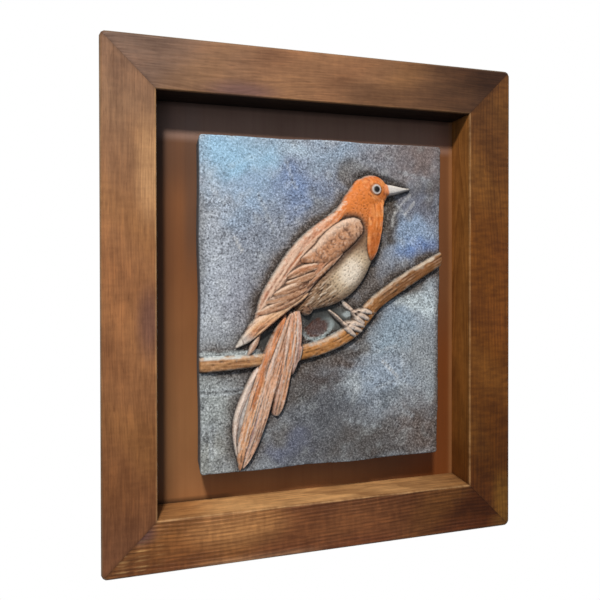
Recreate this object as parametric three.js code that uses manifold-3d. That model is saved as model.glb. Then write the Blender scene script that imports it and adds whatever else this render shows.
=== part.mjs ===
// A decorative wall panel: a bird on a branch, cast in relief on a thick slab and painted. The slab is
// stuck on a board that is set inside a mitred frame of stained softwood.
// Millimetres. +X is the viewer's right, +Z is up, and the panel faces -Y.
// The origin is the middle of the back, where the panel lies against the wall.
import * as THREE from 'three';
import { mergeVertices } from 'three/addons/utils/BufferGeometryUtils.js';
import Module from 'manifold-3d';

const wasm = await Module();
wasm.setup();

// Frame
const FRAME_WIDTH = 314.5;
const FRAME_HEIGHT = 370;
const FRAME_DEPTH = 36;
const RAIL_WIDTH = 36.9;
const RAIL_ROUNDING = 3;
const CORNER_RADIUS = 4;
const JOINT_GAP = 0.3;

// Board
const RECESS_DEPTH = 27.6;
const BOARD_THICKNESS = FRAME_DEPTH - RECESS_DEPTH;

// Slab: its four corners are slightly out of square, as cut by hand
const SLAB_SETBACK = 1;
const SLAB_THICKNESS = RECESS_DEPTH - SLAB_SETBACK - JOINT_GAP;
const SLAB_CORNERS = [[-91.7, 119.6], [95.6, 120.6], [92.5, -119.8], [-91.3, -120.4]];
const SLAB_CORNER_RADIUS = 2.6;
const SLAB_EDGE_ROUNDING = 1.4;
const SLAB_WAVE = 0.5;
const SLAB_WAVES_PER_SIDE = 2.5;
const SLAB_STEPS_PER_SIDE = 9;

// Relief: heights are above the slab's face. Fullness is the squareness of a form's cross section
const RELIEF_SINK = 2.5;
const MODELLED = 2.3;
const LAID_ON = 4.5;
const HEAD = { x: 36.4, z: 82.8, radius: 13, crown: 9.2 };
const EYE = { x: 37.4, z: 84, radius: 4.8, crown: 10.5 };
const PUPIL = { x: 37.4, z: 84, radius: 3, crown: 11.1 };
const TUFT = { x: -14.5, z: -4.6, radius: 4.9, crown: 6.2 };
const BRANCH_LEFT = -90.9;
const BRANCH_RIGHT = 93.9;
const FEATHER_ROOT_SHARE = 0.6;
const FEATHER_TIP_SHARE = 0.62;
const FEATHER_TIP_DROP = 0.88;

const STAINED_WOOD = { color: 0x7d5233, roughness: 0.6, metalness: 0 };
const STAINED_BOARD = { color: 0x6d4429, roughness: 0.55, metalness: 0 };
const PAINTED_CAST = { color: 0x7f8ba0, roughness: 0.75, metalness: 0 };

const WELD = 1e-4;

// A closed three.js geometry as a solid that can be joined and cut
function solid(geometry) {
  const bare = geometry.clone();
  bare.deleteAttribute('normal');
  bare.deleteAttribute('uv');
  const merged = mergeVertices(bare, WELD);
  const vertProperties = new Float32Array(merged.attributes.position.array);
  const triVerts = new Uint32Array(merged.index.array);
  return new wasm.Manifold(new wasm.Mesh({ numProp: 3, vertProperties, triVerts }));
}

function mesh(name, shape, finish) {
  const { vertProperties, triVerts } = shape.getMesh();
  const geometry = new THREE.BufferGeometry();
  geometry.setAttribute('position', new THREE.BufferAttribute(vertProperties, 3));
  geometry.setIndex(new THREE.BufferAttribute(triVerts, 1));
  geometry.computeVertexNormals();
  const made = new THREE.Mesh(geometry, new THREE.MeshStandardMaterial(finish));
  made.name = name;
  return made;
}

// A flat outline in X and Z, extruded from its front towards the wall, with its edges rounded
function plate(shape, front, thickness, rounding) {
  const geometry = new THREE.ExtrudeGeometry(shape, {
    depth: thickness - 2 * rounding,
    bevelEnabled: rounding > 0,
    bevelSize: rounding,
    bevelOffset: -rounding,
    bevelThickness: rounding,
    bevelSegments: 3,
    curveSegments: 5,
  });
  geometry.rotateX(Math.PI / 2);
  geometry.translate(0, front + thickness - rounding, 0);
  return solid(geometry);
}

function box(width, depth, height, x, y, z) {
  return solid(new THREE.BoxGeometry(width, depth, height).translate(x, y, z));
}

function roundedRectangle(width, height, radius) {
  const x = width / 2;
  const z = height / 2;
  const shape = new THREE.Shape();
  shape.moveTo(-x + radius, -z);
  shape.lineTo(x - radius, -z);
  shape.absarc(x - radius, -z + radius, radius, -Math.PI / 2, 0);
  shape.lineTo(x, z - radius);
  shape.absarc(x - radius, z - radius, radius, 0, Math.PI / 2);
  shape.lineTo(-x + radius, z);
  shape.absarc(-x + radius, z - radius, radius, Math.PI / 2, Math.PI);
  shape.lineTo(-x, -z + radius);
  shape.absarc(-x + radius, -z + radius, radius, Math.PI, 1.5 * Math.PI);
  return shape;
}

// The frame: one ring with rounded outer edges, cut at 45 degrees into four rails
function rails() {
  const opening = { width: FRAME_WIDTH - 2 * RAIL_WIDTH, height: FRAME_HEIGHT - 2 * RAIL_WIDTH };
  const outline = roundedRectangle(FRAME_WIDTH, FRAME_HEIGHT, CORNER_RADIUS);
  const ring = plate(outline, -FRAME_DEPTH, FRAME_DEPTH, RAIL_ROUNDING)
    .subtract(box(opening.width, 3 * FRAME_DEPTH, opening.height, 0, -FRAME_DEPTH / 2, 0));
  const reach = RAIL_WIDTH + CORNER_RADIUS;
  const shift = JOINT_GAP / Math.SQRT2;
  const sides = [
    { name: 'rail_top', length: FRAME_WIDTH, turn: 0, out: FRAME_HEIGHT / 2 },
    { name: 'rail_left', length: FRAME_HEIGHT, turn: Math.PI / 2, out: FRAME_WIDTH / 2 },
    { name: 'rail_bottom', length: FRAME_WIDTH, turn: Math.PI, out: FRAME_HEIGHT / 2 },
    { name: 'rail_right', length: FRAME_HEIGHT, turn: -Math.PI / 2, out: FRAME_WIDTH / 2 },
  ];
  return sides.map(({ name, length, turn, out }) => {
    const wedge = new THREE.Shape();
    wedge.moveTo(-length / 2, out);
    wedge.lineTo(-length / 2 + reach, out - reach);
    wedge.lineTo(length / 2 - reach, out - reach);
    wedge.lineTo(length / 2, out);
    const cut = plate(wedge, -1.5 * FRAME_DEPTH, 2 * FRAME_DEPTH, 0)
      .translate([0, 0, shift])
      .rotate([0, -THREE.MathUtils.radToDeg(turn), 0]);
    return mesh(name, ring.intersect(cut), STAINED_WOOD);
  });
}

function board() {
  const width = FRAME_WIDTH - 2 * RAIL_WIDTH - 2 * JOINT_GAP;
  const height = FRAME_HEIGHT - 2 * RAIL_WIDTH - 2 * JOINT_GAP;
  const shape = box(width, BOARD_THICKNESS, height, 0, -BOARD_THICKNESS / 2, 0);
  return mesh('backing_board', shape, STAINED_BOARD);
}

// The slab's outline: straight runs with a slow wave between rounded corners
function slabOutline() {
  const shape = new THREE.Shape();
  const corners = SLAB_CORNERS.map(([x, z]) => new THREE.Vector2(x, z));
  corners.forEach((corner, side) => {
    const before = corners[(side + 3) % 4];
    const after = corners[(side + 1) % 4];
    const arrive = corner.clone().sub(before).setLength(SLAB_CORNER_RADIUS);
    const leave = after.clone().sub(corner).setLength(SLAB_CORNER_RADIUS);
    const start = corner.clone().sub(arrive);
    if (side === 0) shape.moveTo(start.x, start.y);
    else shape.lineTo(start.x, start.y);
    const first = corner.clone().add(leave);
    shape.quadraticCurveTo(corner.x, corner.y, first.x, first.y);
    const run = after.clone().sub(leave).sub(first);
    const out = new THREE.Vector2(-run.y, run.x).normalize();
    for (let step = 1; step < SLAB_STEPS_PER_SIDE; step += 1) {
      const share = step / SLAB_STEPS_PER_SIDE;
      const swell = Math.sin(Math.PI * share) * Math.sin(2 * Math.PI * SLAB_WAVES_PER_SIDE * share + side);
      const point = first.clone().addScaledVector(run, share).addScaledVector(out, SLAB_WAVE * swell);
      shape.lineTo(point.x, point.y);
    }
  });
  return shape;
}

// One raised form of the relief. Each stop is [x, z, half width, crown height]. The form is a sphere
// drawn out along the smooth line through the stops, rounded over the top and sunk into the slab below.
// blunt is the squareness of its ends and fullness that of its cross section, where 2 is an ellipse.
function form(stops, { blunt = 4, fullness = MODELLED, around = 12, along = 14 } = {}) {
  const spine = new THREE.CatmullRomCurve3(stops.map(([x, z]) => new THREE.Vector3(x, 0, z)));
  const girths = stops.map(([, , half, crown]) => new THREE.Vector3(half, crown, 0));
  const sizes = new THREE.CatmullRomCurve3(girths);
  const geometry = new THREE.SphereGeometry(1, around, along);
  const place = geometry.attributes.position;
  const face = -FRAME_DEPTH + SLAB_SETBACK;
  for (let i = 0; i < place.count; i += 1) {
    const share = THREE.MathUtils.clamp((1 - place.getY(i)) / 2, 0, 1);
    const round = Math.hypot(place.getX(i), place.getZ(i));
    const atPole = round < WELD;
    const across = atPole ? 0 : place.getX(i) / round;
    const taper = atPole ? 0 : (1 - Math.abs(2 * share - 1) ** blunt) ** (1 / blunt);
    const arch = (1 - Math.abs(across) ** fullness) ** (1 / fullness);
    const at = spine.getPoint(share);
    const heading = spine.getTangent(share);
    const { x: half, y: crown } = sizes.getPoint(share);
    const aside = half * taper * across;
    const height = taper * arch * (place.getZ(i) > 0 ? crown : -RELIEF_SINK);
    place.setXYZ(i, at.x - heading.z * aside, face - height, at.z + heading.x * aside);
  }
  return solid(geometry);
}

function dome({ x, z, radius, crown }, detail) {
  const stops = [-radius, 0, radius].map((step) => [x + step, z, radius, crown]);
  return form(stops, { blunt: 2, ...detail });
}

// A feather or toe: narrow at its root, widest at its bend, with a rounded tip
function feather(root, bend, tip, half, crown, detail) {
  const stops = [
    [...root, half * FEATHER_ROOT_SHARE, crown],
    [...bend, half, crown],
    [...tip, half * FEATHER_TIP_SHARE, crown * FEATHER_TIP_DROP],
  ];
  return form(stops, { blunt: 3, fullness: LAID_ON, around: 10, along: 12, ...detail });
}

// The branch, cut off straight at both sides of the slab
function branch() {
  const whole = form([
    [-94, -42.5, 6.2, 4.6], [-68, -41.6, 5.4, 5], [-48, -40.4, 4.7, 5], [-18, -36.4, 5.7, 5],
    [2, -31.2, 5.8, 5], [19, -22.6, 6.2, 5.2], [29, -12.4, 6.4, 5.4], [39, -1.8, 5.8, 5.2],
    [62, 14, 6, 5], [99, 35.2, 5.5, 4.4],
  ], { blunt: 12, fullness: 3, along: 34 });
  const middle = (BRANCH_LEFT + BRANCH_RIGHT) / 2;
  const length = BRANCH_RIGHT - BRANCH_LEFT;
  return [whole.intersect(box(length, 2 * FRAME_DEPTH, FRAME_HEIGHT, middle, -FRAME_DEPTH, 0))];
}

// The bird's trunk and head, the mantle and the ridge of its back, the bright bib that lies over its
// breast, and the tuft at the root of its tail
function body() {
  const trunk = form([
    [32.8, 92.2, 11.4, 6.6], [30.8, 80.5, 13.8, 8.8], [27.6, 70, 16.2, 9.2], [22.5, 55, 20.5, 9.4],
    [7.4, 24.6, 22.8, 9.6], [-12, 6.4, 15, 7.6], [-23, -5, 6, 5],
  ], { along: 26, around: 18 });
  const mantle = form([
    [13, 61, 7, 7.4], [-6, 44, 9.5, 6.8], [-23, 22, 11, 6], [-37, 3, 9, 5.2],
    [-49, -13, 5.5, 4.4], [-57, -22, 2, 3.4],
  ], { fullness: 3 });
  const bib = form([
    [37, 80, 11, 9.2], [37.6, 63, 8, 10.2], [36.2, 50, 7, 10.2], [35.2, 38, 5.2, 9.6], [34.8, 31, 2.4, 8.4],
  ], { fullness: LAID_ON });
  const ridge = form([
    [21.2, 78.1, 5.2, 8.2], [9.3, 64.1, 5.2, 8], [-4.4, 52.8, 6, 7.4], [-20.5, 38, 6, 6.8],
    [-34, 20, 5.6, 6.4], [-45, 3, 4.6, 5.8], [-52, -11, 2, 4.6],
  ], { along: 18 });
  const beak = form([
    [42, 84.2, 5, 7.4], [51, 84.5, 4.7, 6.8], [57.5, 84.9, 3.2, 5.6], [63, 85.3, 1.8, 4.4],
    [68.4, 86.1, 0.7, 3],
  ], { blunt: 12, fullness: 3 });
  const head = dome(HEAD, { around: 20 });
  return [trunk, mantle, head, bib, ridge, beak, dome(EYE), dome(PUPIL), dome(TUFT)];
}

// The wing: a mound of small coverts at the shoulder, over a fan of long feathers on one blade
function wing() {
  const blade = form([
    [18, 46.4, 4.5, 10.6], [5, 35.2, 6, 10.8], [-8, 23.6, 6.4, 10], [-20.5, 10.6, 6.4, 8.8],
    [-33, -0.5, 5, 7.8], [-44, -9, 3.4, 6.2],
  ], { fullness: LAID_ON });
  const primaries = form([
    [-14, 8.6, 2.6, 8.6], [-28, -1, 4.4, 8], [-41, -9.4, 5.4, 7.2],
    [-51.4, -17.2, 5.8, 6.2], [-58.2, -24, 4.2, 5], [-66.4, -31, 1.2, 3.4],
  ], { blunt: 8, fullness: LAID_ON });
  const coverts = form([
    [30, 58.4, 6.8, 10.8], [19, 54.3, 9.4, 12], [8, 46.4, 10.8, 12.2],
    [-3, 37, 9.6, 11.6], [-13, 33, 5.4, 10.6], [-21, 30.4, 2.6, 9.4],
  ], { fullness: LAID_ON, along: 18, around: 14 });
  return [
    blade,
    primaries,
    feather([-11.8, 12.8], [-29.7, 1.4], [-52.4, -7.6], 4.4, 9),
    feather([-8.4, 17.2], [-26.2, 6.6], [-48, 0.2], 4.2, 9.5),
    feather([-6.6, 20.8], [-23.3, 12.2], [-42, 4.4], 4.4, 9.9),
    feather([-2.8, 24.4], [-17.5, 18], [-32.4, 13.2], 3.7, 10.4),
    feather([-1.4, 28.4], [-16.9, 24.6], [-31.8, 17.6], 3.9, 10.9),
    feather([12, 37], [-4.4, 22.8], [-24, 3.4], 2.5, 10.6),
    coverts,
  ];
}

// The tail: feathers side by side, each lying a little higher than the one on its left, with a low web
// between the first two
function tail() {
  const web = form([[-43, -34, 2.2, 3.6], [-53, -60, 4, 3.5], [-61, -84, 4.2, 3.2], [-64.5, -106, 2, 2.6]]);
  const outer = form([
    [-43, -34, 1.8, 4.4], [-56, -57, 2.8, 4.4], [-65, -78, 2.5, 4.2],
    [-67.2, -92, 1.9, 3.8], [-66, -108, 1, 3],
  ]);
  const long = form([
    [-30, -8, 3, 5.8], [-41, -34, 4.8, 6], [-50.6, -62, 5, 5.8],
    [-57.5, -86, 4.8, 5.4], [-62.6, -106, 3.6, 4.8], [-63.4, -118.8, 1.6, 4],
  ], { fullness: LAID_ON });
  const inner = form([
    [-26, -6, 3, 6.2], [-35, -34, 5, 6.5], [-43.2, -62, 6, 6.3],
    [-49.8, -86, 5.4, 5.8], [-56.6, -106, 4, 5], [-61.6, -117.6, 1.6, 4.2],
  ], { fullness: LAID_ON });
  const short = form([
    [-23, -5, 3.4, 6.4], [-26, -24, 5.6, 6.9], [-30.5, -50, 5, 6.6],
    [-35, -70, 5.2, 6], [-37.8, -81.5, 4, 5],
  ], { fullness: LAID_ON });
  const edge = form([
    [-20.5, -5.5, 2.6, 6.8], [-20.8, -22, 3.4, 7.4], [-22.4, -38, 3.2, 7.2], [-25.4, -52, 2, 6.4],
  ], { fullness: LAID_ON });
  const under = feather([-49, -21], [-53, -29], [-57.5, -37], 2.8, 4, { along: 8 });
  return [web, outer, long, inner, short, edge, under];
}

// Two short legs, each with three toes that wrap over the branch
function feet() {
  const small = { around: 8, along: 8 };
  const near = { leg: [[2.6, -5.4], [9, -11.2], [16.4, -18]], crown: 5.6, ankle: [12, -15] };
  const far = { leg: [[12.6, 2], [17, -3], [24, -8]], crown: 1.8, ankle: [20, -7] };
  near.toes = [[[22, -15.6], [31, -18.6]], [[20.6, -18.6], [29, -22.4]], [[17, -20.4], [23.6, -26]]];
  far.toes = [[[29, -6.4], [37, -9]], [[27.4, -10], [34.4, -13.8]], [[24.6, -12.8], [30.6, -16.8]]];
  return [near, far].flatMap(({ leg, crown, ankle, toes }) => [
    feather(...leg, 1.9, crown, small),
    ...toes.map(([bend, tip]) => feather(ankle, bend, tip, 2.1, 7.4, small)),
  ]);
}

function relief() {
  const slab = plate(slabOutline(), -FRAME_DEPTH + SLAB_SETBACK, SLAB_THICKNESS, SLAB_EDGE_ROUNDING);
  const forms = [...branch(), ...body(), ...wing(), ...tail(), ...feet()];
  return mesh('relief_tile', forms.reduce((whole, part) => whole.add(part), slab), PAINTED_CAST);
}

const panel = new THREE.Group();
panel.add(...rails(), board(), relief());

export default panel;
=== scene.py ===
import math

import bmesh
import bpy
import numpy as np
from mathutils import Matrix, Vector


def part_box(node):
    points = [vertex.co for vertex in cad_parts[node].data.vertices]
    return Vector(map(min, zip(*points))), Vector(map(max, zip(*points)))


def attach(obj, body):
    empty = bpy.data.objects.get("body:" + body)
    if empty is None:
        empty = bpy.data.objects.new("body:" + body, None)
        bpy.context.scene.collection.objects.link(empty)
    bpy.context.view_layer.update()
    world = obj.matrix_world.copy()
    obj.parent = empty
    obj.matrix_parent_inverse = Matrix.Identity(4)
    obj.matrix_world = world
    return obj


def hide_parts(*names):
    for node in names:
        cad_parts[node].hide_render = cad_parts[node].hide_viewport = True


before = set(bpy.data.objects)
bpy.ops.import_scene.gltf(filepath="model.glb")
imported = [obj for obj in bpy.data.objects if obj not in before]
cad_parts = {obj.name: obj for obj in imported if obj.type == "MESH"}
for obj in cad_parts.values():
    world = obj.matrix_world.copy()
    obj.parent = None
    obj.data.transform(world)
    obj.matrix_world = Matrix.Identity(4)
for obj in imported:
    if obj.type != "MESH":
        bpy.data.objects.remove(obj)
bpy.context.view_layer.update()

# The frame
# Four rails of planed softwood, mitred and glued at the corners, stained red-brown and waxed. The outer
# edges are rounded over, and the inner front edges are rubbed pale by handling.

RAILS = ["rail_top", "rail_right", "rail_bottom", "rail_left"]
FRAME_LEFT, FRAME_FRONT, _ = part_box("rail_left")[0]
FRAME_RIGHT, FRAME_BACK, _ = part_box("rail_right")[1]
FRAME_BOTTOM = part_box("rail_bottom")[0].z
FRAME_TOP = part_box("rail_top")[1].z
RAIL_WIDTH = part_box("rail_top")[1].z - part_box("rail_top")[0].z
RAIL_DEPTH = FRAME_BACK - FRAME_FRONT
OUTER_ROUNDING = 0.0026
INNER_ROUNDING = 0.0009
CORNER_RADIUS = 0.004
MITRE_GAP = 0.00005
FACE_FADE = 0.004
ROWS_ACROSS = 76
STEPS_ALONG = 110
LEVELS_BACK = 15
EDGE_CROWDING = 0.6
BACK_EDGE_STEPS = 4
WOOD_SHARP = math.radians(40)
GRAIN_STEP = np.array((0.7, 0, 0.31))
CURL_ON_SIDES = 0.3


def linear(red, green, blue):
    """A paint or stain colour, given as it looks on a screen from 0 to 255, as a shader takes it."""
    shown = np.array([red, green, blue]) / 255
    return np.where(shown <= 0.04045, shown / 12.92, ((shown + 0.055) / 1.055) ** 2.4)


def soft(value, start, end):
    """A smooth step from 0 at start to 1 at end."""
    share = np.clip((value - start) / (end - start), 0, 1)
    return share * share * (3 - 2 * share)


def blend(under, over, amount):
    """A colour laid over another, from an amount of 0 for none to 1 for all."""
    return under + (over - under) * np.asarray(amount)[..., None]


class Coats:
    """Stain, and light and shade painted into it, laid coat over coat on the points of a piece."""

    def __init__(self, points, colour):
        self.colour = np.broadcast_to(linear(*colour), (points, 3))

    def lay(self, colour, amount):
        self.colour = blend(self.colour, linear(*colour), amount)


def attribute(mesh, name, kind, values):
    """Keeps values on the points of a mesh, for its material to read."""
    layer = mesh.attributes.new(name, kind, "POINT")
    values = np.asarray(values, np.float32)
    if kind == "FLOAT":
        layer.data.foreach_set("value", values.ravel())
    elif kind == "FLOAT_VECTOR":
        layer.data.foreach_set("vector", values.ravel())
    else:
        layer.data.foreach_set("color", np.column_stack([values, np.ones(len(values))]).ravel())


def mesh_object(bm, name, material):
    """The mesh as an object at the origin."""
    mesh = bpy.data.meshes.new(name)
    bm.to_mesh(mesh)
    bm.free()
    mesh.materials.append(material)
    made = bpy.data.objects.new(name, mesh)
    bpy.context.scene.collection.objects.link(made)
    return made


def piece(bm, name, node, material, sharp):
    """The finished mesh as an object that stands for one node of the frame."""
    made = mesh_object(bm, name, material)
    made.data.shade_smooth()
    made.data.set_sharp_from_angle(angle=sharp)
    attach(made, "root")
    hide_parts(node)
    return made


def wobble(*waves):
    """A slow wave made of a few sines, each a place, a length, a turn and a size."""
    return sum(size * np.sin(2 * math.pi * (place / length + turn)) for place, length, turn, size in waves)


def pull_out(bm, edges):
    """Extrudes a loop of edges, and gives the new edges and points."""
    made = bmesh.ops.extrude_edge_only(bm, edges=edges)["geom"]
    fresh = [item for item in made if isinstance(item, bmesh.types.BMVert)]
    return [item for item in made if isinstance(item, bmesh.types.BMEdge)], fresh


def rail_bmesh(length):
    """A rail lying along X, its outer edge up and its face to -Y. Its grid is crowded towards the edges."""
    bm = bmesh.new()
    bmesh.ops.create_grid(bm, x_segments=STEPS_ALONG, y_segments=ROWS_ACROSS, size=1)
    reach = length / 2 - MITRE_GAP
    for vert in bm.verts:
        share = (1 - vert.co.y) / 2
        across = RAIL_WIDTH * (share - EDGE_CROWDING * math.sin(2 * math.pi * share) / (2 * math.pi))
        past = max(0, abs(vert.co.x) * reach - (reach - CORNER_RADIUS))
        tip = CORNER_RADIUS * (1 - math.sqrt(0.5)) * (past / CORNER_RADIUS) ** 2
        across = tip + across * (RAIL_WIDTH - tip) / RAIL_WIDTH
        drop = 0
        if across - tip < OUTER_ROUNDING:
            drop = OUTER_ROUNDING - math.sqrt(OUTER_ROUNDING**2 - (OUTER_ROUNDING - across + tip) ** 2)
        if RAIL_WIDTH - across < INNER_ROUNDING:
            left = INNER_ROUNDING - RAIL_WIDTH + across
            drop = INNER_ROUNDING - math.sqrt(max(0, INNER_ROUNDING**2 - left**2))
        vert.co = (vert.co.x * (reach - across), -RAIL_DEPTH + drop, -across)
    bmesh.ops.reverse_faces(bm, faces=bm.faces)
    edges = [edge for edge in bm.edges if edge.is_boundary]
    starts = {vert: vert.co.copy() for vert in bm.verts if vert.is_boundary}
    last = -OUTER_ROUNDING
    rings = [(step / LEVELS_BACK, 0) for step in range(1, LEVELS_BACK + 1)]
    rings += [(1, step / BACK_EDGE_STEPS) for step in range(1, BACK_EDGE_STEPS + 1)]
    for share, turned in rings:
        edges, fresh = pull_out(bm, edges)
        ways = ((vert, edge.other_vert(vert)) for vert in fresh for edge in vert.link_edges)
        starts |= {vert: starts[other] for vert, other in ways if other in starts}
        angle = turned * math.pi / 2
        for vert in fresh:
            start = starts[vert]
            inset = OUTER_ROUNDING * (1 - math.cos(angle)) if start.z > -OUTER_ROUNDING else 0
            back = start.y + (last - start.y) * share + OUTER_ROUNDING * math.sin(angle)
            vert.co = (start.x, back, start.z - inset)
    bmesh.ops.edgeloop_fill(bm, edges=edges)
    bmesh.ops.recalc_face_normals(bm, faces=bm.faces)
    return bm


# How each rail was sawn: where the pith of the log lies from its outer edge and face, how far the pith
# drifts along it, the spacing of the growth rings, how far the late wood stands proud, and how strongly the
# late wood, the fibres and the curl across them show.
SAWN = {
    "rail_top": {
        "pith": (-0.070, 0.030), "drift": 0.020, "spacing": 0.0017, "ridge": 0.00005,
        "late": 0.38, "fibre": 0.40, "curl": 0.10,
    },
    "rail_right": {
        "pith": (0.049, 0.016), "drift": 0.030, "spacing": 0.0024, "ridge": 0.00003,
        "late": 0.55, "fibre": 0.30, "curl": 0.45,
    },
    "rail_bottom": {
        "pith": (-0.060, 0.020), "drift": 0.022, "spacing": 0.0026, "ridge": 0.00032,
        "late": 0.65, "fibre": 0.60, "curl": 0.30,
    },
    "rail_left": {
        "pith": (0.110, 0.030), "drift": 0.010, "spacing": 0.0016, "ridge": 0.00004,
        "late": 0.30, "fibre": 0.38, "curl": 0.15,
    },
}

# The stain at the start, middle and end of each rail, going clockwise round the frame. It darkens towards
# the right and the bottom of the frame, which is painted shade as well as the stain's own unevenness
STAIN_AND_PAINTED_SHADE = {
    "rail_top": ((117, 87, 69), (150, 106, 72), (64, 39, 22)),
    "rail_right": ((102, 63, 28), (120, 69, 20), (90, 48, 8)),
    "rail_bottom": ((78, 37, 6), (130, 80, 46), (146, 92, 48)),
    "rail_left": ((132, 82, 46), (158, 106, 66), (142, 104, 74)),
}
# How far the inner front edge of each rail is rubbed
WORN = {"rail_top": 0.15, "rail_right": 0.45, "rail_bottom": 0.75, "rail_left": 0.55}
STAIN_DARK = (62, 36, 20)
STAIN_RED = (112, 58, 32)
STAIN_OCHRE = (182, 126, 58)
STAIN_PURPLE = (104, 72, 70)
WORN_EDGE = (206, 160, 108)
OLIVE_EDGE = (140, 122, 94)
KNOT_ALONG = -0.068
KNOT_ACROSS = 0.040
KNOT_STRETCH = 2.2
KNOT_REACH = 0.016
KNOT_PUSH = 0.010


def growth_ring(name, along, across, depth):
    """How many growth rings out from the pith a point of a rail lies."""
    sawn = SAWN[name]
    pith_across, pith_depth = sawn["pith"]
    drift = sawn["drift"] * along + wobble((along, 0.31, 0.1, 0.0016), (along, 0.13, 0.6, 0.0006))
    sway = wobble((along, 0.22, 0.35, 0.0012), (along + 2 * across, 0.09, 0.2, 0.0003))
    if name == "rail_top":
        knot = np.hypot((along - KNOT_ALONG) / KNOT_STRETCH, across - KNOT_ACROSS)
        drift = drift - KNOT_PUSH * np.exp(-((knot / KNOT_REACH) ** 2))
    radius = np.hypot(across - pith_across + drift, depth - pith_depth + sway)
    return radius / sawn["spacing"]


def stain(name, along, across, depth):
    """The stain's colour over a rail, with light and shade painted into it. Across runs from the outer edge
    to the inner one.
    """
    start, middle, finish = STAIN_AND_PAINTED_SHADE[name]
    end = along.max() - RAIL_WIDTH / 2
    coats = Coats(len(along), middle)
    coats.lay(finish, soft(along, 0.02, end))
    coats.lay(start, soft(along, -0.02, -end))
    patches = wobble((along, 0.17, 0.3, 0.5), (along + across, 0.071, 0.7, 0.35), (across, 0.05, 0.1, 0.2))
    coats.lay(STAIN_RED, 0.22 * soft(patches, 0, 1))
    coats.lay(STAIN_OCHRE, 0.15 * soft(-patches, 0, 1))
    inner_face = soft(across, RAIL_WIDTH - 0.0013, RAIL_WIDTH - 0.0006) * soft(depth, 0.0006, 0.002)
    if name == "rail_top":
        purple = np.hypot((along - KNOT_ALONG - 0.007) / 0.034, (across - KNOT_ACROSS + 0.006) / 0.010)
        coats.lay(STAIN_PURPLE, 0.75 * soft(purple, 1.1, 0.2))
        coats.lay((106, 72, 48), 0.75 * soft(along, -0.005, 0.03) * soft(across, 0.014, 0.026))
        coats.lay((68, 43, 27), 0.6 * soft(along, 0.06, 0.11) * soft(across, 0.012, 0.024))
        # The top rail's underside, painted near black as shade
        coats.lay((22, 14, 10), 0.95 * inner_face)
    if name == "rail_right":
        tips = soft(np.abs(along), 0.132, 0.158) * soft(across, 0.020, 0.008)
        coats.lay((142, 98, 36), (0.4 + 0.25 * np.sign(along)) * tips)
        flame = soft(across, RAIL_WIDTH - 0.0018, RAIL_WIDTH - 0.0008) * soft(depth, 0.001, 0.004)
        coats.lay((188, 124, 62), 0.7 * flame * soft(along, 1.4 * end, -0.06))
    if name == "rail_bottom":
        coats.lay(STAIN_RED, 0.45 * soft(across, 0.014, 0.002) * soft(patches, -0.6, 0.5))
        bright = np.hypot((along - 0.066) / 0.040, (across - 0.026) / 0.016)
        coats.lay((196, 138, 84), 0.85 * soft(bright, 1.2, 0.3))
        tips = soft(along, -0.134, -0.152) * soft(across, 0.014, 0.006)
        coats.lay((128, 88, 36), 0.6 * tips)
        lower_edge = soft(across, 0.007, 0.001) * soft(np.abs(along - 0.05), 0.06, 0.02)
        coats.lay((186, 142, 106), 0.5 * lower_edge)
        golden = soft(along + across, end - 0.008, end + 0.022)
        coats.lay((142, 94, 54), 0.6 * golden)
        slant = across - 0.06 * along
        flecks = wobble((across, 0.0022, 0.1, 0.6), (slant, 0.0035, 0.4, 0.6), (along, 0.013, 0.2, 0.5))
        left_end = soft(along, 0.112, 0.134)
        coats.lay((212, 166, 108), 0.7 * soft(flecks, 0.5, 1.2) * left_end)
        coats.lay(STAIN_DARK, 0.5 * soft(-flecks, 0.4, 1.2) * left_end)
        purple = np.hypot((along - end + 0.006) / 0.012, (across - 0.029) / 0.009)
        coats.lay(STAIN_PURPLE, 0.8 * soft(purple, 1.2, 0.3))
        # Painted light on the bottom rail's inner face, which faces up to the lamp, fading towards both
        # ends
        painted_light_from_above = soft(along, -0.17, -0.03) * (1 - 0.75 * soft(along, 0.070, 0.104))
        coats.lay((226, 172, 114), 0.9 * inner_face * painted_light_from_above)
    if name == "rail_left":
        coats.lay((128, 84, 58), 0.6 * soft(along, -0.12, -0.165))
        purple = np.hypot((along + 0.012) / 0.032, (across - 0.032) / 0.011)
        coats.lay(STAIN_PURPLE, 0.6 * soft(purple, 1.1, 0.2))
        bright = np.hypot((along - 0.092) / 0.042, (across - 0.032) / 0.011)
        coats.lay((204, 154, 106), 0.75 * soft(bright, 1.2, 0.2))
    nick = wobble((along, 0.011, 0.2, 0.5), (along, 0.0041, 0.6, 0.5), (along, 0.029, 0.4, 0.6))
    inner_edge = np.hypot(RAIL_WIDTH - across, depth)
    worn = soft(inner_edge, 0.0015, 0.0004) * (0.6 + 0.4 * soft(nick, -0.9, 0.6))
    coats.lay(WORN_EDGE, WORN[name] * worn)
    coats.lay(OLIVE_EDGE, 0.55 * soft(across, 0.0020, 0.0004) * soft(depth, 0.006, 0.002))
    joint = along.max() - across - np.abs(along)
    coats.lay(STAIN_DARK, 0.3 * soft(joint, 0.0009, 0.0001))
    return coats.colour


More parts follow.
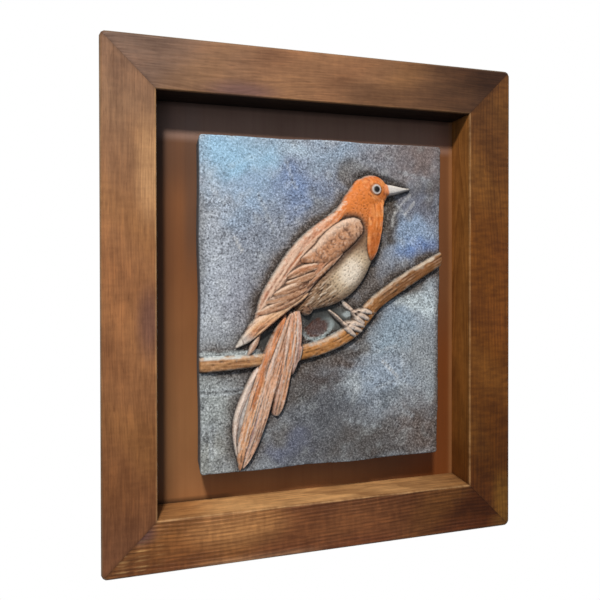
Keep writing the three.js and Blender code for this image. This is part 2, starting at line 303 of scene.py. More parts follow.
class Nodes:
    """A short way to add nodes to a material or a world and link them."""

    def __init__(self, owner):
        owner.use_nodes = True
        self.owner = owner
        self.tree = owner.node_tree
        self.shader = self.tree.nodes.get("Principled BSDF")

    def add(self, kind, links=None, values=None, **settings):
        node = self.tree.nodes.new(kind)
        for key, value in settings.items():
            setattr(node, key, value)
        for key, value in (values or {}).items():
            node.inputs[key].default_value = value
        for key, source in (links or {}).items():
            self.tree.links.new(source, node.inputs[key])
        return node

    def attribute(self, name):
        return self.add("ShaderNodeAttribute", attribute_name=name)

    def math(self, operation, first, second=None):
        links, values = {}, {}
        for key, given in enumerate((first, second)):
            if isinstance(given, (int, float)):
                values[key] = given
            elif given is not None:
                links[key] = given
        return self.add("ShaderNodeMath", links, values, operation=operation).outputs[0]

    def span(self, value, low, high, out_low=0.0, out_high=1.0):
        values = {"From Min": low, "From Max": high, "To Min": out_low, "To Max": out_high}
        return self.add("ShaderNodeMapRange", {"Value": value}, values).outputs["Result"]

    def noise(self, vector, scale, stretch=(1, 1, 1), detail=2.0, roughness=0.55):
        mapped = self.add("ShaderNodeMapping", {"Vector": vector}, {"Scale": stretch}).outputs[0]
        values = {"Scale": scale, "Detail": detail, "Roughness": roughness}
        return self.add("ShaderNodeTexNoise", {"Vector": mapped}, values).outputs[0]

    def mix(self, amount, under, over, kind="MIX"):
        node = self.add("ShaderNodeMix", data_type="RGBA", blend_type=kind)
        for socket, given in ((0, amount), (6, under), (7, over)):
            if isinstance(given, (int, float)):
                node.inputs[socket].default_value = given
            elif isinstance(given, bpy.types.NodeSocket):
                self.tree.links.new(given, node.inputs[socket])
            else:
                node.inputs[socket].default_value = (*given, 1)
        return node.outputs[2]

    def bump(self, height, strength, distance):
        values = {"Strength": strength, "Distance": distance}
        made = self.add("ShaderNodeBump", {"Height": height}, values)
        self.tree.links.new(made.outputs[0], self.shader.inputs["Normal"])

    def feed(self, socket, source):
        self.tree.links.new(source, self.shader.inputs[socket])


def stained_wood(name, late_share, fibre_share):
    """Softwood under stain: late wood lines on the growth rings, fine fibres along them, planer chatter."""
    wood = Nodes(bpy.data.materials.new(name))
    grain = wood.attribute("grain").outputs["Vector"]
    ring = wood.attribute("ring").outputs["Fac"]
    colour = wood.attribute("stain").outputs["Color"]
    curl = wood.attribute("curl").outputs["Fac"]
    waver = wood.noise(grain, 1.0, (14, 160, 160))
    number = wood.math("ADD", ring, wood.math("MULTIPLY", waver, 0.9))
    share = wood.math("FRACT", number)
    late = wood.math("MULTIPLY", wood.span(share, 0.30, 0.85), wood.span(share, 1.0, 0.92))
    own = wood.add("ShaderNodeTexWhiteNoise", {"W": wood.math("FLOOR", number)}, noise_dimensions="1D")
    late = wood.math("MULTIPLY", late, wood.span(own.outputs["Value"], 0, 1, 0.35, 1.0))
    fade = wood.noise(grain, 1.0, (16, 40, 40))
    late = wood.math("MULTIPLY", late, wood.span(fade, 0.30, 0.62, 0.25, 1.0))
    fibre = wood.noise(grain, 1.0, (44, 560, 560), detail=4.0)
    pores = wood.noise(grain, 1.0, (110, 1300, 1300))
    cloud = wood.noise(grain, 1.0, (24, 70, 70), detail=5.0, roughness=0.65)
    chatter = wood.noise(grain, 1.0, (320, 90, 90), detail=3.0)
    dark = wood.mix(1.0, colour, (0.36, 0.28, 0.24), "MULTIPLY")
    light = wood.mix(1.0, colour, (1.45, 1.40, 1.32), "MULTIPLY")
    mixed = wood.mix(wood.span(cloud, 0.48, 0.26, 0, 0.9), colour, light)
    mixed = wood.mix(wood.span(cloud, 0.48, 0.74, 0, 0.55), mixed, dark)
    mixed = wood.mix(wood.span(fibre, 0.46, 0.30, 0, fibre_share), mixed, light)
    mixed = wood.mix(wood.span(fibre, 0.48, 0.76, 0, fibre_share), mixed, dark)
    mixed = wood.mix(wood.math("MULTIPLY", wood.span(chatter, 0.48, 0.70), curl), mixed, dark)
    mixed = wood.mix(wood.math("MULTIPLY", wood.span(chatter, 0.46, 0.30), curl), mixed, light)
    mixed = wood.mix(wood.math("MULTIPLY", late, late_share), mixed, dark)
    mixed = wood.mix(wood.span(pores, 0.60, 0.80, 0, 0.6), mixed, dark)
    wood.feed("Base Color", mixed)
    wood.feed("Roughness", wood.span(fibre, 0.3, 0.8, 0.46, 0.64))
    wood.shader.inputs["Specular IOR Level"].default_value = 0.22
    lift = wood.math("SUBTRACT", wood.math("MULTIPLY", late, 0.4), wood.math("MULTIPLY", fibre, 0.6))
    wood.bump(lift, 0.3, 0.0003)
    return wood.owner


for order, name in enumerate(RAILS):
    turn = Matrix.Rotation(order * math.pi / 2, 4, "Y")
    upright = order % 2 == 1
    length = FRAME_TOP - FRAME_BOTTOM if upright else FRAME_RIGHT - FRAME_LEFT
    out = (FRAME_RIGHT - FRAME_LEFT if upright else FRAME_TOP - FRAME_BOTTOM) / 2
    bm = rail_bmesh(length)
    place = np.array([vert.co for vert in bm.verts])
    along, across, depth = place[:, 0], -place[:, 2], place[:, 1] + RAIL_DEPTH
    ring = growth_ring(name, along, across, depth)
    share = ring - np.floor(ring)
    proud = soft(share, 0.35, 0.85) * soft(share, 1.0, 0.9)
    on_face = soft(depth, FACE_FADE, 0) * soft(across, 0, FACE_FADE)
    sawn = SAWN[name]
    for vert, rise in zip(bm.verts, sawn["ridge"] * (1 - proud) * on_face):
        vert.co.y += rise
    bmesh.ops.translate(bm, verts=bm.verts, vec=(0, 0, out))
    bmesh.ops.transform(bm, verts=bm.verts, matrix=turn)
    wood = stained_wood(name, sawn["late"], sawn["fibre"])
    rail = piece(bm, name + "_wood", name, wood, WOOD_SHARP)
    attribute(rail.data, "grain", "FLOAT_VECTOR", place + order * GRAIN_STEP)
    attribute(rail.data, "ring", "FLOAT", ring)
    curl = CURL_ON_SIDES + (1 - CURL_ON_SIDES) * soft(depth, FACE_FADE, 0)
    attribute(rail.data, "curl", "FLOAT", sawn["curl"] * curl)
    # The rail's colour is its stain with painted light and shade, kept for its material
    attribute(rail.data, "stain", "FLOAT_COLOR", stain(name, along, across, depth))

# The backing board
# A smooth board, stained to match, that closes the back of the frame and carries the slab. Light and shade
# are painted into its stain round the rails and the slab.

BOARD_LOW, BOARD_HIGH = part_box("backing_board")
BOARD_FIT = 0.00027
BOARD_CELL = 0.002
BOARD_STAIN = (122, 78, 48)
BOARD_PAINTED_LIGHT = (164, 114, 72)
BOARD_PAINTED_REFLECTION = (172, 140, 126)
BOARD_RED = (122, 64, 26)
BOARD_JOINT_AND_SHADE = (40, 27, 20)

bm = bmesh.new()
board_width = BOARD_HIGH.x - BOARD_LOW.x + 2 * BOARD_FIT
board_height = BOARD_HIGH.z - BOARD_LOW.z + 2 * BOARD_FIT
bmesh.ops.create_grid(
    bm,
    x_segments=round(board_width / BOARD_CELL),
    y_segments=round(board_height / BOARD_CELL),
    size=0.5,
    matrix=Matrix.Diagonal((board_width, board_height, 1, 1)),
)
bmesh.ops.rotate(bm, verts=bm.verts, matrix=Matrix.Rotation(math.pi / 2, 3, "X"))
bmesh.ops.translate(bm, verts=bm.verts, vec=(0, BOARD_LOW.y, 0))
rim, back = pull_out(bm, [edge for edge in bm.edges if edge.is_boundary])
bmesh.ops.translate(bm, verts=back, vec=(0, BOARD_HIGH.y - BOARD_LOW.y, 0))
bmesh.ops.edgeloop_fill(bm, edges=rim)
bmesh.ops.recalc_face_normals(bm, faces=bm.faces)


def stained_board():
    board = Nodes(bpy.data.materials.new("stained_board"))
    place = board.add("ShaderNodeTexCoord").outputs["Object"]
    streak = board.noise(place, 1.0, (420, 420, 9), detail=3.0)
    cloud = board.noise(place, 1.0, (26, 26, 12), detail=3.0)
    grit = board.noise(place, 1400.0)
    colour = board.attribute("stain").outputs["Color"]
    dark = board.mix(1.0, colour, (0.62, 0.56, 0.52), "MULTIPLY")
    colour = board.mix(board.span(streak, 0.45, 0.75, 0, 0.2), colour, dark)
    colour = board.mix(board.span(cloud, 0.45, 0.70, 0, 0.4), colour, dark)
    colour = board.mix(board.span(grit, 0.60, 0.75, 0, 0.2), colour, dark)
    board.feed("Base Color", colour)
    board.feed("Roughness", board.span(cloud, 0.3, 0.7, 0.34, 0.46))
    board.shader.inputs["Specular IOR Level"].default_value = 0.22
    board.bump(streak, 0.08, 0.0002)
    return board.owner


backing = piece(bm, "backing_board_wood", "backing_board", stained_board(), WOOD_SHARP)
place = np.array([vert.co for vert in backing.data.vertices])
coats = Coats(len(place), BOARD_STAIN)
x, z = place[:, 0], place[:, 2]
coats.lay((142, 90, 52), soft(x, -0.08, -0.098))
# Painted shade beside the slab's left side, on the upper half
coats.lay((98, 74, 60), 0.6 * soft(np.abs(x + 0.094), 0.010, 0.002) * soft(z, 0.0, 0.06))
# Painted light towards the lower left, where the slab's shadow on the board is paler
coats.lay(BOARD_PAINTED_LIGHT, 0.8 * soft(z, 0.04, -0.12) * soft(x, 0.06, -0.10))
coats.lay((92, 62, 44), 0.6 * soft(z, 0.07, 0.105) * soft(x, -0.085, -0.10))
# Painted reflected light, greyer, on the top strip that lies in the top rail's shadow
coats.lay(BOARD_PAINTED_REFLECTION, soft(z, 0.118, 0.124) * (0.4 + 0.1 * soft(x, 0.02, -0.06)))
coats.lay(BOARD_RED, 0.8 * soft(x, 0.06, 0.10) * soft(z, 0.02, -0.06))
# Painted light along the foot of the board, paling the slab's shadow towards the bottom rail
coats.lay(BOARD_PAINTED_LIGHT, 0.45 * soft(z, BOARD_LOW.z + 0.024, BOARD_LOW.z + 0.006) * soft(x, 0.08, 0.0))
# Painted shade, darkening the board towards the left rail
coats.lay(BOARD_JOINT_AND_SHADE, 0.6 * soft(x, BOARD_LOW.x + 0.018, BOARD_LOW.x))
foot = soft(z, BOARD_LOW.z + 0.0026, BOARD_LOW.z + 0.0010)
coats.lay(BOARD_JOINT_AND_SHADE, 0.85 * foot * soft(x, -0.05, -0.08))
coats.lay(BOARD_JOINT_AND_SHADE, 0.7 * soft(z, BOARD_HIGH.z - 0.004, BOARD_HIGH.z))
# A painted highlight down the board's right edge, by the right rail
coats.lay(BOARD_PAINTED_LIGHT, 0.6 * soft(x, BOARD_HIGH.x - 0.0045, BOARD_HIGH.x - 0.001))
coats.lay(BOARD_STAIN, soft(place[:, 1], BOARD_LOW.y, BOARD_HIGH.y))
# The board's colour is its stain with painted light and shade, kept for its material
attribute(backing.data, "stain", "FLOAT_COLOR", coats.colour)

# The relief tile
# One slab of cast clay with a songbird on a branch raised on its face, glued to the board. It is painted by
# hand in thin coats, with a dark wash left in the hollows and the high parts rubbed back to pale.

MM = 0.001
SLAB_FACE = FRAME_FRONT + 1 * MM
SLAB_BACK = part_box("relief_tile")[1].y
SLAB_CORNERS = [(-91.7, 119.6), (95.6, 120.6), (92.5, -119.8), (-91.3, -120.4)]
SLAB_HALF = (93.5, 119.7)
SLAB_CORNER_RADIUS = 2.6
SLAB_EDGE_ROUNDING = 1.4
SLAB_WAVE = 0.5
SLAB_WAVES_PER_SIDE = 2.5
WAVE_REACH = 14
CHIP_DEPTH = 0.6
CHIP_REACH = 2.4
CAST_SHARP = math.radians(70)
SLAB_SIDE = (98, 106, 112)
SIDE_GRIT = 0.6
SLAB_CELL = 1.76
RELIEF_CUTS = 3
RELIEF_MARGIN = 1.2
NEAR_RELIEF = 0.06
SIDE_STEPS = 4

# The relief is worked out in millimetres, as heights and colours on a sheet of points over the slab's face.
PITCH = 0.3
SHEET_COLUMNS = 660
SHEET_ROWS = 840
east = (np.arange(SHEET_COLUMNS) - (SHEET_COLUMNS - 1) / 2) * PITCH
north = (np.arange(SHEET_ROWS) - (SHEET_ROWS - 1) / 2) * PITCH
X, Z = np.meshgrid(east, north)
dice = np.random.default_rng(11)
LATTICE_SIZE = 256
LATTICE = dice.standard_normal((LATTICE_SIZE, LATTICE_SIZE))
WALL_SLOPE = 3.5
LINE_STEPS = 90
# How full a form is from side to side: modelled round, or laid on as a strip with steep edges
MODELLED = 2.3
LAID_ON = 4.5


def blurred(field, size):
    """The field softened over a size in millimetres."""
    across = np.fft.rfftfreq(len(east), PITCH)
    up = np.fft.fftfreq(len(north), PITCH)[:, None]
    keep = np.exp(-2 * math.pi**2 * ((across * size) ** 2 + (up * size) ** 2))
    return np.fft.irfft2(np.fft.rfft2(field) * keep, field.shape)


def cloud(size):
    """Random soft patches of a size in millimetres, mostly from -2 to 2."""
    field = blurred(dice.standard_normal(X.shape), size)
    return field / field.std()


def bristles(along, across, length, width, start=0.0):
    """Brush marks drawn out along a form, mostly from -1 to 1."""
    u = along / length + start
    v = across / width + 100
    left, low = np.floor(u).astype(int), np.floor(v).astype(int)
    s, t = soft(u - left, 0, 1), soft(v - low, 0, 1)
    columns = left % LATTICE_SIZE, (left + 1) % LATTICE_SIZE
    rows = low % LATTICE_SIZE, (low + 1) % LATTICE_SIZE
    near, far = (LATTICE[row, columns[0]] * (1 - s) + LATTICE[row, columns[1]] * s for row in rows)
    return near * (1 - t) + far * t


def smooth_line(stops):
    """Points along the smooth line through the stops, each x, z, half width and crown."""
    stops = np.array(stops, float)
    ends = np.vstack([2 * stops[0] - stops[1], stops, 2 * stops[-1] - stops[-2]])
    gaps = np.sqrt(np.hypot(*np.diff(ends[:, :2], axis=0).T))
    at = np.linspace(0, len(stops) - 1, LINE_STEPS)
    part = np.minimum(at.astype(int), len(stops) - 2)
    t = (at - part)[:, None]
    a, b, c, d = (ends[part + k] for k in range(4))
    before, here, after = (gaps[part + k][:, None] for k in range(3))
    leave = ((b - a) / before - (c - a) / (before + here) + (c - b) / here) * here
    arrive = ((c - b) / here - (d - b) / (here + after) + (d - c) / after) * here
    return b + t * leave + t**2 * (3 * (c - b) - 2 * leave - arrive) + t**3 * (2 * (b - c) + leave + arrive)


height = np.zeros(X.shape)
paint = np.zeros((*X.shape, 3))
owner = np.zeros(X.shape, int)


class Form:
    """One form of the relief, a rounded ridge along a smooth line, and where each point lies on it."""

    made = 0

    def __init__(self, stops, blunt=4, fullness=MODELLED):
        line = smooth_line(stops)
        reach = line[:, 2].max() + PITCH
        low = line[:, :2].min(0) - reach
        high = line[:, :2].max(0) + reach
        rows = slice(*np.searchsorted(north, (low[1], high[1])))
        columns = slice(*np.searchsorted(east, (low[0], high[0])))
        self.window = rows, columns
        x, z = X[self.window], Z[self.window]
        nearest = np.full(x.shape, np.inf)
        share = np.zeros(x.shape)
        side = np.ones(x.shape)
        for step, (start, end) in enumerate(zip(line[:-1, :2], line[1:, :2])):
            run = end - start
            t = np.clip(((x - start[0]) * run[0] + (z - start[1]) * run[1]) / (run @ run), 0, 1)
            aside = x - start[0] - t * run[0], z - start[1] - t * run[1]
            away = np.hypot(*aside)
            nearer = away < nearest
            nearest = np.where(nearer, away, nearest)
            share = np.where(nearer, (step + t) / (LINE_STEPS - 1), share)
            side = np.where(nearer, np.sign(run[0] * aside[1] - run[1] * aside[0]), side)
        steps = np.linspace(0, 1, LINE_STEPS)
        taper = np.clip(1 - np.abs(2 * share - 1) ** blunt, 0, 1) ** (1 / blunt)
        width = np.interp(share, steps, line[:, 2]) * taper
        off = np.minimum(nearest / np.maximum(width, 0.01), 1)
        self.inside = off < 1
        self.edge = (1 - off) * width
        crown = np.interp(share, steps, line[:, 3])
        self.rise = crown * taper * (1 - off**fullness) ** (1 / fullness)
        self.share = share
        self.along = share * np.hypot(*np.diff(line[:, :2], axis=0).T).sum()
        self.across = side * nearest
        self.off = side * off
        self.x, self.z = x, z
        Form.made += 1
        self.number = Form.made

    def raise_up(self, join=0.0):
        """Adds the form to the relief. A join melts it into what lies under it."""
        now = height[self.window]
        top = np.where(self.inside, np.minimum(self.rise, now + self.edge * WALL_SLOPE), 0)
        self.shows = self.inside & (top > now)
        raised = np.maximum(now, top)
        if join:
            melt = np.maximum(join - np.abs(top - now), 0) ** 2 / (4 * join)
            raised = raised + np.where(self.inside & (now > 0.5), melt * soft(self.edge, 0, 2), 0)
        height[self.window] = raised
        owner[self.window][self.shows] = self.number
        return self

    def carve(self, depth):
        """Sinks marks into the form where it shows."""
        height[self.window] -= depth * self.shows

    def brush(self, colour, amount=1.0):
        """Lays paint on the form where it shows."""
        paint[self.window] = blend(paint[self.window], linear(*colour), amount * self.shows)

    def strokes(self, length, width, start=0.0):
        """Brush marks that run along the form."""
        return bristles(self.along, self.across, length, width, start)

    def mottle(self, size, start=0.0):
        """Round marks, dabbed on with the brush's tip."""
        return bristles(self.x, self.z, size, size, start)

    def visible(self):
        """Where nothing that was added later covers the form."""
        return owner == self.number


def dome(x, z, radius, crown):
    """A round mound."""
    return Form([(x + step, z, radius, crown) for step in (-radius, 0, radius)], blunt=2)


def feather(root, bend, tip, half, crown):
    """A strip that is widest at its bend and thins towards its tip."""
    stops = [(*root, 0.6 * half, crown), (*bend, half, crown), (*tip, 0.62 * half, 0.88 * crown)]
    return Form(stops, blunt=3, fullness=LAID_ON)


# The ground, dabbed on in greys and blues with ragged edges
GROUND = (143, 148, 158)
RAGGED_FROM = 14
ragged_east = 3.6 * cloud(7) + 1.8 * cloud(2)
ragged_north = 3.6 * cloud(7) + 1.8 * cloud(2)
paint[:] = linear(*GROUND)


def wash(colour, amount):
    """Lays thin paint over the whole sheet."""
    paint[:] = blend(paint, linear(*colour), amount)


def dab(x, z, wide, tall, colour, amount):
    """One soft patch of the ground's paint: where it lies, its half sizes, its colour and its strength."""
    rough = min(1, tall / RAGGED_FROM)
    away = np.hypot((X - x + rough * ragged_east) / wide, (Z - z + rough * ragged_north) / tall)
    wash(colour, amount * soft(away, 1.35, 0.15))


dab(-66, 106, 34, 32, (150, 188, 214), 0.95)
dab(-58, 77, 26, 20, (146, 170, 196), 0.8)
dab(-20, 84, 28, 22, (116, 138, 176), 0.85)
dab(-42, 58, 24, 20, (126, 136, 154), 0.5)
dab(4, 112, 30, 14, (146, 168, 190), 0.6)
dab(82, 112, 38, 24, (118, 102, 97), 0.95)
dab(48, 112, 24, 10, (110, 102, 104), 0.6)
dab(80, 74, 28, 20, (106, 108, 122), 0.85)
dab(70, 52, 28, 14, (134, 156, 184), 0.85)
dab(77, 42, 20, 8, (92, 126, 184), 0.8)
dab(-86, 22, 24, 70, (176, 182, 191), 0.8)
dab(-60, 2, 26, 30, (152, 152, 164), 0.5)
dab(78, 0, 30, 18, (192, 204, 210), 0.95)
dab(56, -23, 34, 18, (146, 164, 182), 0.9)
dab(40, -56, 40, 24, (152, 166, 186), 0.95)
dab(84, -54, 20, 36, (140, 146, 154), 0.75)
dab(4, -78, 34, 22, (80, 80, 86), 0.9)
dab(-6, -54, 36, 14, (76, 65, 62), 0.95)
dab(-22, -104, 44, 22, (88, 88, 96), 0.9)
dab(32, -107, 48, 20, (80, 73, 70), 0.9)
dab(-33, -103, 17, 11, (108, 113, 138), 0.6)
dab(80, -105, 34, 29, (98, 84, 78), 0.95)
dab(-82, -72, 24, 32, (166, 172, 174), 0.85)
dab(-82, -109, 24, 17, (146, 147, 144), 0.85)
dab(13, -42, 19, 7, (80, 60, 46), 0.85)
dab(30, -33, 8, 6, (92, 82, 74), 0.7)
dab(89, 86, 8, 16, (84, 74, 70), 0.85)
dab(75, 88, 9, 8, (94, 90, 90), 0.65)
dab(91, -70, 6, 18, (86, 64, 48), 0.8)
dab(92, -2, 5, 13, (112, 100, 90), 0.6)
dab(20, 100, 14, 8, (96, 92, 88), 0.65)
dab(64, -2, 16, 7, (194, 203, 206), 0.9)
dab(50, -74, 12, 9, (96, 102, 110), 0.75)
dab(-36, -92, 10, 8, (92, 84, 78), 0.6)
dab(48, -116, 26, 5, (72, 62, 56), 0.75)
dab(-17, -68, 12, 10, (72, 66, 62), 0.7)
dab(19, -59, 14, 11, (166, 174, 184), 0.85)
dab(-6, 74, 9, 9, (116, 116, 112), 0.6)
dab(-24, 112, 14, 8, (168, 188, 204), 0.7)
dab(13, 92, 9, 8, (104, 98, 90), 0.7)
dab(22, -37, 11, 4, (60, 46, 36), 0.8)
paint[:] = blend(paint, paint * (1.0, 0.98, 0.91), soft(Z, 20, -40))


def within(x, z, wide, tall, core=0.5):
    """1 in the middle of an oval on the sheet, falling to 0 just past its edge."""
    return soft(np.hypot((X - x) / wide, (Z - z) / tall), 1.2, core)


blotch = cloud(2.4)
worked = 0.25 + 0.55 * soft(np.hypot((X + 84) / 22, (Z + 98) / 40), 1.3, 0.6)
wash((196, 200, 198), worked * 0.7 * soft(blotch, 0.5, 2.2))
wash((70, 70, 70), worked * 0.7 * soft(-blotch, 0.5, 2.2))

# The branch, rough with bark
OCHRE = (184, 124, 66)
OCHRE_DEEP = (134, 80, 36)
OCHRE_LIGHT = (214, 166, 112)
OCHRE_PAINTED_HIGHLIGHT = (222, 206, 182)
BARK_SHADE = (74, 46, 28)
branch = Form([
    (-94, -42.5, 6.2, 4.6), (-68, -41.6, 5.4, 5), (-48, -40.4, 4.7, 5), (-18, -36.4, 5.7, 5),
    (2, -31.2, 5.8, 5), (19, -22.6, 6.2, 5.2), (29, -12.4, 6.4, 5.4), (39, -1.8, 5.8, 5.2),
    (62, 14, 6, 5), (99, 35.2, 5.5, 4.4),
], blunt=12, fullness=3).raise_up()
bark = branch.strokes(15, 1.0)
knots = branch.strokes(2.6, 1.7, 40)
branch.carve(0.18 * bark + 0.22 * knots)
branch.brush(OCHRE)
branch.brush((182, 134, 92), 0.8 * soft(branch.x, -30, -55))
branch.brush((124, 80, 44), 0.9 * soft(branch.x, 20, 50))
branch.brush(OCHRE_DEEP, soft(bark, 0.1, 1.3) * 0.45)
branch.brush(OCHRE_LIGHT, soft(-knots, 0.2, 1.1) * 0.15)
branch.brush(OCHRE_DEEP, soft(knots, 0.4, 1.4) * 0.15)
# The lower side is painted dark as shade, and the upper side pale as a painted highlight, most on the right
# part
branch.brush(BARK_SHADE, 0.85 * soft(branch.off + 0.12 * knots, -0.50, -0.95))
branch.brush(OCHRE_PAINTED_HIGHLIGHT, 0.4 * soft(branch.off + 0.15 * knots, 0.60, 0.86) * soft(branch.x, 28, 52))
branch.brush(OCHRE_PAINTED_HIGHLIGHT, 0.35 * soft(branch.off + 0.35 * knots, 0.60, 1.0))

# The bird's trunk, mantle, head and bib, and the ridge of its back
ORANGE = (220, 122, 50)
ORANGE_DEEP = (180, 84, 30)
ORANGE_PALE = (232, 164, 108)
PINK = (208, 166, 139)
PINK_PALE = (230, 194, 168)
CREAM = (226, 200, 166)
CREAM_PALE = (255, 237, 214)
BELLY_BROWN = (146, 104, 72)
VENT = (162, 134, 106)
VENT_DARK = (66, 44, 32)
trunk = Form([
    (32.8, 92.2, 11.4, 6.6), (30.8, 80.5, 13.8, 8.8), (27.6, 70, 16.2, 9.2), (22.5, 55, 20.5, 9.4),
    (7.4, 24.6, 22.8, 9.6), (-12, 6.4, 15, 7.6), (-23, -5, 6, 5),
]).raise_up()
down = trunk.mottle(0.95)
# The belly is cream, painted palest round one spot as a highlight and browner further out
from_belly_highlight = np.hypot((trunk.x - 18) / 14, (trunk.z - 22) / 15)
trunk.brush(CREAM_PALE)
trunk.brush(CREAM, soft(from_belly_highlight, 0.3, 1.0))
trunk.brush(BELLY_BROWN, 0.5 * soft(from_belly_highlight, 0.9, 1.7))
# Painted shade across the upper belly, below the bib and the wing
trunk.brush((116, 82, 58), 0.6 * soft(trunk.z, 31, 43))
trunk.brush(BELLY_BROWN, soft(-down, 0.35, 1.3) * 0.4)
hatch_along = 0.78 * trunk.x + 0.62 * trunk.z
hatch_across = -0.62 * trunk.x + 0.78 * trunk.z
hatch = bristles(hatch_along, hatch_across, 3.2, 0.75)
vent_share = soft(trunk.share + 0.03 * down, 0.66, 0.84)
trunk.brush(VENT, 0.75 * vent_share)
trunk.brush(VENT_DARK, 0.75 * vent_share * soft(hatch, 0.1, 0.9))
trunk.brush(CREAM_PALE, 0.8 * vent_share * soft(-hatch, 0.4, 1.1))
trunk.carve(0.32 * vent_share * hatch + 0.14 * down)
# Painted shade on the lower right edge of the belly
trunk.brush((104, 78, 58), 0.7 * soft(trunk.off + 0.06 * down, 0.55, 0.98) * soft(trunk.z, 40, 20))
trunk.brush(BELLY_BROWN, 0.4 * soft(trunk.z + 4 * down, 13, 0))
trunk.brush(ORANGE, soft(trunk.z, 50, 57))
mantle = Form([
    (13, 61, 7, 7.4), (-6, 44, 9.5, 6.8), (-23, 22, 11, 6), (-37, 3, 9, 5.2),
    (-49, -13, 5.5, 4.4), (-57, -22, 2, 3.4),
], fullness=3).raise_up(join=2)
ridge = Form([
    (21.2, 78.1, 5.2, 8.2), (9.3, 64.1, 5.2, 8), (-4.4, 52.8, 6, 7.4), (-20.5, 38, 6, 6.8),
    (-34, 20, 5.6, 6.4), (-45, 3, 4.6, 5.8), (-52, -11, 2, 4.6),
], fullness=3).raise_up(join=3)
head = dome(36.4, 82.8, 13, 9.2).raise_up(join=3)
bib = Form([
    (37, 80, 11, 9.2), (37.6, 63, 8, 10.2), (36.2, 50, 7, 10.2), (35.2, 38, 5.2, 9.6), (34.8, 31, 2.4, 8.4),
], fullness=LAID_ON).raise_up(join=1)
head_marks = bristles(head.x * 0.8 - head.z * 0.6, head.x * 0.6 + head.z * 0.8, 2.6, 1.0)
bib_marks = bib.strokes(3.4, 1.1, start=7)
for form, start in ((mantle, 5), (ridge, 3)):
    marks = form.strokes(16, 1.5, start)
    dashes = form.strokes(2.2, 0.8, start + 20)
    pink = soft(form.share, 0.08, 0.50)
    form.brush(ORANGE)
    form.brush(PINK, pink)
    form.brush(ORANGE, 0.7 * soft(form.off + 0.2 * marks, 0.0, 0.5) * soft(form.share, 0.75, 0.45))
    form.brush(ORANGE_PALE, 0.5 * soft(-marks, 0.3, 1.2))
    form.brush(ORANGE_DEEP, 0.25 * soft(marks, 0.2, 1.3))
    form.brush(PINK_PALE, 0.75 * pink * soft(-marks, -0.4, 0.6))
    form.brush((128, 86, 62), 0.3 * pink * soft(marks, 0.6, 1.3))
    form.brush(ORANGE_DEEP, 0.35 * soft(dashes, 0.5, 1.3))
    form.brush(PINK_PALE, 0.35 * soft(-dashes, 0.4, 1.2))
    form.carve(0.10 * marks + 0.10 * dashes)
crumbs = ridge.strokes(1.3, 0.9, 70)
ridge.brush((228, 204, 184), 0.65 * soft(-ridge.off - 0.25 * crumbs, 0.5, 1.0))
for form, marks in ((head, head_marks), (bib, bib_marks)):
    form.brush(ORANGE)
    form.brush((198, 104, 44), 0.6 * soft(form.mottle(4.5, 3), 0.0, 1.0))
    form.brush((236, 158, 92), 0.5 * soft(form.mottle(5, 17), 0.0, 1.0))
    form.brush(ORANGE_DEEP, 0.55 * soft(marks, 0.3, 1.5))
    form.brush(ORANGE_PALE, 0.45 * soft(-marks, 0.4, 1.5))
    form.carve(0.12 * marks)
bib.brush((178, 90, 32), 0.75 * soft(bib.share, 0.30, 0.6) * soft(np.abs(bib.off), 0.75, 0.35))
bib.brush((226, 168, 128), 0.15 * soft(bib.off, 0.62, 0.85) * soft(bib.share, 0.2, 0.4))
head.brush(ORANGE_DEEP, 0.5 * soft(head.off, 0.55, 0.9) * soft(head.z, 78, 90))

# The beak, and the eye with its pale ring
BEAK = (218, 210, 202)
beak = Form([
    (42, 84.2, 5, 7.4), (51, 84.5, 4.7, 6.8), (57.5, 84.9, 3.2, 5.6), (63, 85.3, 1.8, 4.4),
    (68.4, 86.1, 0.7, 3),
], blunt=12, fullness=3).raise_up()
beak.brush(BEAK)
# The underside painted darker as shade
beak.brush((168, 156, 146), 0.7 * soft(beak.off, -0.45, -0.9))
beak.brush(ORANGE, 0.9 * soft(beak.share + 0.03 * beak.off, 0.19, 0.15))
beak.brush((60, 50, 44), 0.8 * soft(beak.share, 0.92, 0.98))
EYE_AT = (37.4, 84)
eye_far = np.hypot(X - EYE_AT[0], Z - EYE_AT[1])
height += 1.2 * soft(eye_far, 4.6, 3.4) - 0.5 * soft(np.abs(eye_far - 2.9), 0.6, 0.1)
height += 0.6 * soft(eye_far, 2.4, 1.2)
wash((168, 110, 74), 0.8 * soft(eye_far, 4.8, 4.2))
wash((198, 190, 184), soft(eye_far, 3.8, 3.3))
wash((112, 98, 92), soft(eye_far, 2.7, 2.3))
wash((20, 16, 16), soft(eye_far, 2.3, 1.8))

# The wing: a mound of coverts with curled strokes, over a fan of long feathers
WING_DARK_AND_SHADE = (88, 52, 36)
WING_PALE_AND_HIGHLIGHT = (228, 196, 170)


def feather_marks(form, start, base, pale=WING_PALE_AND_HIGHLIGHT, dark=WING_DARK_AND_SHADE, orange=0.35):
    """Vanes along a feather, pale on its upper edge as a painted highlight and dark along the lower one as
    painted shade.
    """
    vanes = form.strokes(13, 1.1, start)
    form.brush(base)
    form.brush((196, 108, 56), orange * soft(form.strokes(16, 3, start + 5), 0, 0.9))
    form.brush(pale, 0.8 * soft(-form.off + 0.2 * vanes, 0.30, 0.75))
    form.brush(dark, 0.95 * soft(form.off + 0.15 * vanes, 0.40, 0.85))
    form.brush(dark, 0.7 * soft(vanes, 0.4, 1.1))
    form.brush(pale, 0.3 * soft(-vanes, 0.5, 1.3))
    grain = form.strokes(1.7, 0.7, start + 40)
    form.brush(dark, 0.35 * soft(grain, 0.4, 1.3))
    form.brush(pale, 0.35 * soft(-grain, 0.4, 1.3))
    form.carve(0.20 * vanes + 0.06 * grain)


